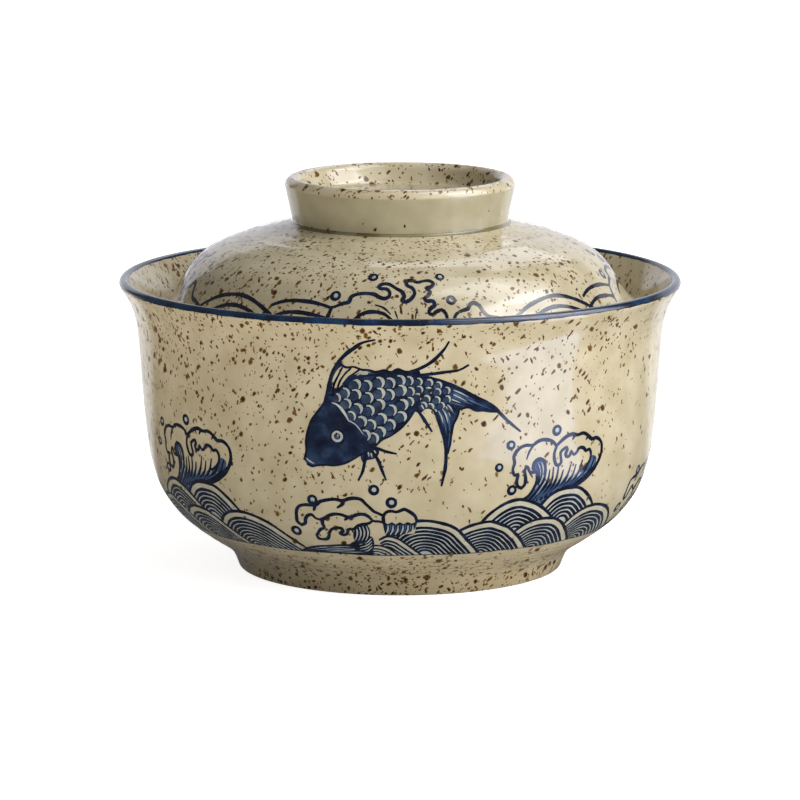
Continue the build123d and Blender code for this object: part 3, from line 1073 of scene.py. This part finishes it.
# A scale's parts as shares of its radius, its tilt, and the waver of the hand from scale to scale
scale_tilt = 32
scale_outline = 1.2
scale_wash = 0.8
scale_wash_back = 0.3
scale_edge_radius = 0.84
scale_edge_width = 0.54
scale_edge_stretch = (1.0, 1.12)
scale_half_arc = math.radians(76)
scale_waver = 0.16
scale_waver_pace = (3, 2)
scale_edge_points = 6
for row, radius in (
    (((14.2, 78.4), (14.4, 75.8), (12.7, 73.9), (10.6, 71.9)), 1.15),
    (((11.8, 80.0), (11.6, 78.0), (11.4, 75.6), (9.6, 73.6)), 1.2),
    (((9.2, 80.8), (9.0, 78.4), (8.5, 76.0), (7.6, 74.0)), 1.2),
    (((6.2, 81.2), (6.4, 78.8), (6.0, 76.6)), 1.25),
    (((3.6, 81.6), (4.0, 78.4), (3.8, 75.4)), 1.45),
    (((1.2, 81.8), (1.5, 78.9), (2.0, 74.6), (1.6, 71.0)), 1.75),
    (((-1.6, 81.0), (-1.8, 77.6), (-1.2, 73.0), (-1.5, 68.6)), 1.75),
    (((-4.7, 81.2), (-4.6, 78.0), (-4.6, 74.6), (-4.1, 70.4), (-4.4, 66.4)), 1.75),
    (((-8.2, 80.2), (-7.9, 76.6), (-7.6, 72.8), (-7.1, 68.5), (-6.4, 64.6)), 1.75),
    (((-11.4, 80.4), (-11.4, 77.4), (-11.0, 73.2), (-9.8, 69.4), (-8.8, 65.4)), 1.75),
    (((-14.6, 77.8), (-14.2, 74.6), (-12.9, 70.9)), 1.6),
    (((-17.2, 76.2),), 1.5),
):
    for tip in row:
        centre = np.asarray(tip) - heading(scale_tilt) * radius
        carp.disc(centre, radius * scale_outline, "line", body)
        carp.disc(centre - heading(scale_tilt) * radius * scale_wash_back, radius * scale_wash, "scale", body)
        middle = math.radians(scale_tilt) + scale_waver * math.sin(np.dot(scale_waver_pace, tip))
        arc = middle + np.linspace(1, -1, scale_edge_points) * scale_half_arc
        edge = np.column_stack([np.cos(arc), np.sin(arc)]) * scale_edge_stretch * radius * scale_edge_radius
        carp.stroke(centre + edge, radius * scale_edge_width, "scale_edge", start=0.4, end=0.3, within=body)
back_line = (
    (-19.6, 75.8), (-18.2, 77.3), (-16.2, 79.4), (-12.9, 81.4), (-9.1, 82.4), (-5.3, 82.8), (5.6, 82.5),
    (9.0, 81.8),
)
carp.stroke(back_line, 0.6)
carp.stroke(((9.9, 71.9), (8.6, 72.7), (7.2, 72.7), (5.8, 71.5), (4.2, 72.0), (3.2, 71.0)), 0.5)
carp.stroke(((4.2, 72.0), (2.3, 69.1), (0.4, 67.0), (-2.5, 64.7), (-5.3, 63.2), (-7.4, 61.2)), 0.6)

# Fins under the body: thin dark spikes
belly_fin = ((-11.4, 60.0), (-7.0, 61.6), (-6.0, 59.6), (-7.6, 57.6), (-9.4, 57.2), (-10.6, 56.4))
fin_streaks = (
    ((-9.2, 59.4), (-9.0, 58.2)),
    ((-8.4, 59.2), (-8.1, 58.0)),
    ((-7.4, 60.0), (-6.8, 59.0)),
    ((6.2, 73.6), (6.9, 72.4)),
)
carp.wash(belly_fin, "deep")
for spike, width in (
    (((5.2, 72.0), (6.6, 69.9), (7.9, 67.8), (9.2, 65.8)), 0.95),
    (((-8.4, 61.0), (-6.4, 60.7), (-4.2, 59.9), (-1.1, 59.2)), 0.95),
    (((-7.6, 59.4), (-6.3, 57.0), (-5.2, 54.0), (-4.1, 51.3)), 1.0),
    (((-10.0, 60.0), (-10.3, 56.9), (-11.0, 53.6), (-12.2, 51.1)), 1.05),
):
    carp.stroke(spike, width, start=1.2, end=0.75)
carp.strokes(fin_streaks, 0.4, "pale", end=0.3)

# Head: a dark wash, with the gill's pale edge, a ringed eye and a pale lip
brow = (
    (-28.5, 56.6), (-27.9, 58.7), (-27.8, 62.5), (-27.2, 64.9), (-25.8, 68.7), (-24.4, 70.6),
    (-22.9, 72.5), (-21.8, 74.1), (-21.2, 76.0), (-19.8, 76.4),
)
gill_side = (
    (-19.4, 74.2), (-18.2, 73.8), (-16.8, 72.5), (-15.6, 70.6), (-14.6, 68.9), (-12.9, 67.7),
    (-11.5, 66.2), (-10.4, 64.7), (-9.2, 62.2),
)
jaw = (
    (-9.8, 59.6), (-11.6, 58.7), (-13.9, 57.2), (-16.3, 56.0), (-19.1, 55.3), (-22.5, 55.2),
    (-24.9, 54.9), (-26.0, 54.6), (-27.6, 55.2),
)
gill_edge = ((-19.6, 74.0), (-18.2, 73.5), (-16.9, 72.3), (-15.7, 70.5), (-14.8, 68.8))
gill_end = ((-14.8, 68.9), (-13.0, 67.9), (-11.6, 66.3), (-10.6, 64.9))
carp.wash(brow + gill_side + jaw, "deep")
carp.stroke(brow, 0.75)
carp.stroke(jaw, 0.65)
carp.stroke(gill_edge, 0.8, "pale", start=0.35, end=0.45)
carp.stroke(gill_end, 0.34, "pale", end=0.4)
for centre, radius, paint in (
    ((-18.1, 63.9), 2.35, "line"),
    ((-18.3, 64.0), 1.72, "pale"),
    ((-18.3, 64.0), 1.0, "line"),
    ((-18.3, 63.9), 0.66, "wash"),
    ((-18.1, 64.3), 0.26, "pale"),
):
    carp.disc(centre, radius, paint)
carp.stroke(((-27.8, 56.9), (-27.0, 56.2), (-25.6, 55.5)), 0.5, "pale", start=0.5, end=0.5)

carp_paints = ("line", "deep", "wash", "scale", "scale_edge", "pale")
carp_cut = carp.settled(carp_low, carp_high)
films("carp_", carp_paints, carp_cut, bowl_face, bowl_reference, carp_turns, "bowl")

# Lid: a domed stoneware lid with a ring grip, thrown upside down and turned in one piece.
# It is glazed all over like the bowl, and its brim lies loose inside the bowl's flare.
lid_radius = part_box("lid")[1].x / mm
lid_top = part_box("lid")[1].z / mm
brim_thickness = 3.2
brim_slope = 27.3
brim_width = 9.1
brim_carry = (0.42, 0.42)
neck_height = 11.6
neck_slope = 61.8
dome_carry = (0.38, 0.36)
dome_height = 28.8
dome_slope = 20.2
dome_marks = ((39.0, 0.10, 1.1), (31.0, 0.08, 1.2), (46.5, -0.08, 0.9))
lid_wall = 4.2
crown_turn = 0.9
crown_thickness = 6.8
crown_carry = (0.4, 0.36)
grip_radius = 32.5
grip_height = 13.5
grip_flare = 2.35
grip_lip = 5.0
grip_lip_steps = 18
grip_wall_rings = 24
grip_recess = 6.2
grip_recess_radius = 28.2
grip_recess_round = 1.2
grip_recess_rings = 16
grip_root_round = 0.7
grip_root_points = 2
grip_margin = 0.5
# The band at the grip's root that is darkened, partly by pooled glaze and partly as painted shade
pool_and_shade_above_root = 0.05
pool_and_shade_half_width = 0.4

brim_centre = np.array([lid_radius - brim_thickness / 2, lid_top - dome_height - grip_height])
brim_top = brim_centre + heading(quarter_turn - brim_slope) * brim_thickness / 2
brim_under = brim_centre - heading(quarter_turn - brim_slope) * brim_thickness / 2
neck = brim_centre + (-brim_width, neck_height)
grip_root = np.array([grip_radius, brim_centre[1] + dome_height])
neck_in = half_turn - neck_slope
brim_curve = bow(brim_top, half_turn - brim_slope, neck, neck_in, brim_carry, outside_step)
dome_curve = bow(neck, neck_in, grip_root, half_turn - dome_slope, dome_carry, outside_step)
lid_outside = wheel_marked(np.vstack([brim_curve[:-1], dome_curve]), dome_marks)
under_crown, crown_slope = inside_of(dome_curve, crown_turn, lid_wall)
under_neck, _ = inside_of(dome_curve, 0, lid_wall)
recess_height = lid_top - grip_recess
crown_middle = (0, recess_height - crown_thickness)
crown_down = crown_slope + half_turn
crown_curve = bow(crown_middle, 0, under_crown, crown_down, crown_carry, inside_step)
under_dome = bow(under_crown, crown_down, under_neck, -neck_slope, dome_carry[::-1], inside_step)
under_brim = bow(under_neck, -neck_slope, brim_under, -brim_slope, brim_carry[::-1], inside_step)
grip_out = np.array([grip_radius + grip_flare, lid_top - grip_lip / 2])
grip_in = grip_out - (grip_lip, 0)
grip_wall = grip_root + (grip_out - grip_root) * np.linspace(0, 1, grip_wall_rings)[:, None]
grip_wall = grip_wall[grip_root_points:]
dome_end = lid_outside[-grip_root_points - 1]
recess_edge = (grip_recess_radius, recess_height)
lid_outline = np.vstack(
    [
        crown_curve[:-1],
        under_dome[:-1],
        under_brim,
        half_round(brim_under, -brim_slope, brim_top),
        lid_outside[:-grip_root_points],
        eased(dome_end, grip_root, grip_wall[0], grip_root_round),
        grip_wall,
        half_round(grip_out, quarter_turn, grip_in, grip_lip_steps),
        grip_in,
        eased(grip_in, recess_edge, (0, recess_height), grip_recess_round),
        level(grip_recess_radius - grip_recess_round, 0, recess_height, grip_recess_rings)[1:],
    ]
)

# Thick glaze on the grip: it ran down here while the lid hung upside down, so its wall is darker and greener
# and hides the specks. The groove at the grip's root is darkest: glaze pooled there, and painted shade
# darkens it too.
lid_glaze = glazed("speckled_glaze_on_lid", glaze_tones, plenty=0.9)
thick_glaze = glazed("thick_glaze_on_grip", ("b0a88c", "bab296", "c4bca1"), plenty=0.04)
# The dark glaze in the groove at the grip's root is partly pooled glaze and partly painted shade
pooled_glaze_and_shade = glazed("glaze_pooled_and_shaded_at_grip", ("665e42", "827a5a", "9d9575"), plenty=0.1)


def grip_rows(lower, upper):
    """1 for the rows of the grip's outer wall, 2 for the groove at its root (pooled glaze and painted shade),
    0 elsewhere.
    """
    radius, height = ((lower + upper) / 2).T
    height = height - grip_root[1]
    outer = (radius > grip_radius - grip_margin) & (height < grip_out[1] - grip_root[1])
    pooled_and_shaded = outer & (abs(height - pool_and_shade_above_root) < pool_and_shade_half_width)
    return np.where(pooled_and_shaded, 2, np.where(outer & (height > 0), 1, 0))


lid = turned("lid_body", lid_outline, (lid_glaze, thick_glaze, pooled_glaze_and_shade), grip_rows)
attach(lid, "lid")
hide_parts("lid")

# Lid waves: a splash with drops, a cloud of foam and two low hills, in thin cobalt lines on the dome.
# The same stretch is painted four times round the lid.
lid_reference = 66.0
lid_turns = 4
lid_pitch = 2 * math.pi * lid_reference / lid_turns
lid_from = -24.0
lid_reach = (6, 32)
lid_line = 1.25
lid_lines = (
    (
        (32.6, 9.4), (36.4, 12.0), (40.6, 14.2), (45.5, 15.6), (50.5, 16.1), (55.0, 15.4), (59.4, 13.8),
        (63.6, 11.6), (67.0, 9.6),
    ),
    ((39.6, 9.4), (43.6, 11.5), (50.5, 12.7), (56.0, 11.7), (61.0, 9.6)),
    ((63.8, 14.3), (66.0, 15.3), (69.0, 16.1), (73.0, 16.4), (77.0, 16.2), (80.4, 15.6), (83.2, 14.8)),
    ((63.6, 9.6), (66.4, 11.4), (69.6, 12.5), (73.0, 12.8), (77.6, 12.4), (83.0, 11.4)),
    ((83.4, 15.0), (82.8, 12.8), (82.2, 9.6)),
    (
        (-20.4, 14.8), (-18.6, 15.6), (-17.0, 16.4), (-15.3, 16.8), (-14.9, 18.5), (-13.25, 19.5),
        (-10.75, 19.9), (-7.8, 19.6), (-6.2, 18.7), (-4.7, 18.25), (-3.25, 19.1), (-3.2, 20.5),
        (-4.3, 21.6), (-6.2, 21.8), (-6.6, 22.6), (-5.3, 23.5), (-3.25, 23.25), (-1.2, 21.8),
        (0.9, 20.3), (1.3, 19.1), (0.7, 17.6), (1.75, 17.2), (3.4, 18.25), (4.5, 20.1), (3.8, 22.0),
        (2.2, 23.0), (2.2, 24.5), (3.6, 25.1), (5.5, 24.1), (7.6, 24.6), (9.7, 24.6), (10.7, 23.5),
        (9.9, 22.3), (8.2, 21.8), (9.3, 20.5), (8.8, 19.3), (7.4, 18.3), (7.8, 17.5), (9.9, 17.3),
        (10.3, 16.1), (9.0, 15.0), (8.4, 13.7), (9.4, 13.1), (10.7, 14.1), (12.2, 14.5), (13.3, 13.4),
        (13.6, 11.4),
    ),
    ((-13.2, 11.2), (-12.0, 12.6), (-10.0, 13.7), (-7.4, 14.0), (-4.6, 13.4), (-2.4, 11.6)),
    (
        (15.4, 11.2), (16.6, 13.2), (18.6, 14.1), (20.1, 14.5), (20.9, 15.75), (22.2, 16.3),
        (23.8, 15.3), (24.7, 13.4), (25.9, 12.0), (29.4, 11.0), (33.6, 10.0),
    ),
)
lid_sea = Painting()
lid_sea.strokes(lid_lines, lid_line, start=0.7, end=0.7)
lid_sea.stroke(((-7.2, 16.1), (-5.4, 15.6), (-3.9, 14.6), (-2.7, 13.3)), 0.6, start=0.9, end=0.4)
lid_sea.stroke(((-1.4, 14.2), (-0.6, 11.8)), 0.5, end=0.4)
lid_sea.stroke(((4.7, 13.8), (4.4, 11.8)), 0.45, end=0.4)
lid_sea.droplets((((-8.9, 26.2), 1.75), ((-19.8, 18.7), 1.75), ((13.3, 26.2), 1.6), ((15.4, 17.5), 1.6)))
lid_cut = lid_sea.settled((lid_from, lid_reach[0]), (lid_from + lid_pitch, lid_reach[1]), repeats=True)
films("lid_waves_", ("line", "pale"), lid_cut, turned_face(lid_outside), lid_reference, lid_turns, "lid")

# Studio: a white table under soft lights from the front right and above, with pale cards on the table
# that fill the shadows, and panels that only the glaze mirrors. Sizes here are in metres.
white = linear("ffffff")


def looked_at(tree):
    """What kind of ray meets a surface, and 1 for one that the camera sends, through clear things too."""
    ray = add(tree, "LightPath").node.outputs
    return ray, add(tree, "Math", (ray["Is Camera Ray"], ray["Is Transmission Ray"]), operation="MAXIMUM")


# White table sheet: matt, so it takes the object's shadow, and brought up to white where it is looked at.
# In the glaze it shows a painted glow instead: white on the sweep behind the object, and dim, as painted
# shadow and shade, near the object and on the table in front of it.
floor_half = 15.0 / mm
sheet_colour = "f0f0f0"
sheet_roughness = 0.9
sweep_spread = 0.7
sweep_start = (0.0, 0.06)
sweep_near = (0.10, 0.16)
dim_table_glow = 0.12
shadow_reach = (0.06, 0.24)
shadow_glow = 0.85
table, table_tree, sheet = blank("white_table_sheet")
table_ray, table_seen = looked_at(table_tree)
table_place = add(table_tree, "TexCoord", out="Object")
table_across, behind, _ = add(table_tree, "SeparateXYZ", (table_place,)).node.outputs
aside = add(table_tree, "Math", (table_across,), operation="ABSOLUTE")
aside = add(table_tree, "Math", (aside, -sweep_spread, behind), operation="MULTIPLY_ADD")
away = add(table_tree, "VectorMath", (table_place,), "Value", operation="LENGTH")
glow = add(table_tree, "MapRange", (away, *shadow_reach, shadow_glow, 1.0))
glow = add(table_tree, "Math", (glow, table_seen), operation="MULTIPLY")
sheet_look = {
    "Base Color": linear(sheet_colour),
    "Roughness": sheet_roughness,
    "Emission Color": white,
    "Emission Strength": glow,
}
sheet_look = add(table_tree, sheet, sheet_look)
# Painted glow that only the glaze mirrors: white on the sweep behind, dim as painted shadow near the object
# and in front
painted_sweep_glow = add(table_tree, "MapRange", (away, *sweep_near, dim_table_glow, 1.0))
painted_sweep_glow = add(table_tree, "MapRange", (aside, *sweep_start, dim_table_glow, painted_sweep_glow))
mirrored = add(table_tree, "Emission", {"Color": white, "Strength": painted_sweep_glow})
shown_sheet = add(table_tree, "MixShader", (table_ray["Is Glossy Ray"], sheet_look, mirrored))
add(table_tree, table_tree.nodes["Material Output"], {"Surface": shown_sheet})
floor_corners = np.array([(-1, -1, 0), (1, -1, 0), (1, 1, 0), (-1, 1, 0)]) * floor_half
smooth_piece("table_top", floor_corners, [(0, 1, 2, 3)], [table])

# Room: a low even light from all round, and plain white where it is looked at
room_light = 0.16
world = bpy.data.worlds.new("studio")
bpy.context.scene.world = world
world.use_nodes = True
room = world.node_tree
_, room_seen = looked_at(room)
room_level = add(room, "MapRange", {0: room_seen, 3: room_light, 4: 1.0})
add(room, room.nodes["Background"], {"Color": white, "Strength": room_level})

# Lights: name, centre, what it faces, width and height, brightness, tone, and where it doesn't show
wall_aim = (0.0, 0.0, 0.07)
rim_aim = (0.0, 0.0, 0.08)
dome_aim = (0.0, 0.0, 0.1)
low_card_turn = math.radians(-20)
for light_name, light_place, facing, light_size, brightness, tone, hidden_from in (
    ("key_softbox", (0.75, -0.22, 0.51), wall_aim, (0.6, 0.6), 2.1, "ffffff", ()),
    ("front_softbox", (0.52, -0.62, 0.44), wall_aim, (0.6, 0.6), 2.2, "ffffff", ()),
    ("top_softbox", (0.50, -0.20, 0.85), wall_aim, (0.6, 0.6), 3.4, "ffffff", ()),
    ("low_card", (0.36, -0.2, 0.002), (0.36, -0.2, 1.0), (0.52, 0.14), 4.2, "bccdff", ("camera", "diffuse")),
    ("front_card", (0.06, -0.42, 0.002), (0.06, -0.42, 1.0), (0.6, 0.5), 1.1, "fff4e4", ("camera", "glossy")),
    ("left_card", (-0.4, -0.1, 0.002), (-0.4, -0.1, 1.0), (0.5, 0.7), 1.3, "fff0d8", ("camera", "glossy")),
    ("back_card", (0.05, 0.45, 0.002), (0.05, 0.45, 1.0), (0.8, 0.5), 1.5, "fff4e4", ("camera", "glossy")),
    ("back_sweep", (0.25, 1.0, 0.305), (0.25, 0.0, 0.1), (1.9, 0.51), 0.9, "f0f0fa", ("camera", "diffuse")),
    ("window_panel", (0.19, 0.925, 0.92), dome_aim, (0.52, 0.67), 2.0, "f4f4ff", ("camera", "diffuse")),
    ("side_panel", (0.88, -0.2, 0.42), rim_aim, (0.8, 0.9), 4.5, "eef2ff", ("camera", "diffuse")),
    ("overhead_panel", (0.6, 0.0, 1.05), rim_aim, (0.7, 0.9), 2.6, "eef2ff", ("camera", "diffuse")),
):
    light = bpy.data.lights.new(light_name, "AREA")
    light.shape = "RECTANGLE"
    light.size, light.size_y = light_size
    light.energy = brightness * math.pi * light.size * light.size_y
    light.color = linear(tone)[:3]
    softbox = bpy.data.objects.new(light_name, light)
    bpy.context.scene.collection.objects.link(softbox)
    softbox.location = light_place
    softbox.rotation_euler = (Vector(facing) - Vector(light_place)).to_track_quat("-Z", "Y").to_euler()
    # The low card lies flat like the others, but is turned on the table to run along the bowl
    if light_name == "low_card":
        softbox.rotation_euler = (math.pi, 0, low_card_turn)
    for rays in hidden_from:
        setattr(softbox, "visible_" + rays, False)

# Camera: where the photographer stood, in metres
camera_distance = 1.5
camera_elevation = math.radians(10.16)
camera_aim = Vector((0, 0, 0.05016))
lens = bpy.data.cameras.new("camera")
lens.lens = 221.64
lens.sensor_width = 36.0
lens.clip_end = 100.0
camera = bpy.data.objects.new("camera", lens)
bpy.context.scene.collection.objects.link(camera)
back = Vector((0, -math.cos(camera_elevation), math.sin(camera_elevation)))
camera.location = camera_aim + back * camera_distance
camera.rotation_euler = (-back).to_track_quat("-Z", "Y").to_euler()
bpy.context.scene.camera = camera
bpy.context.scene.view_settings.view_transform = "Standard"
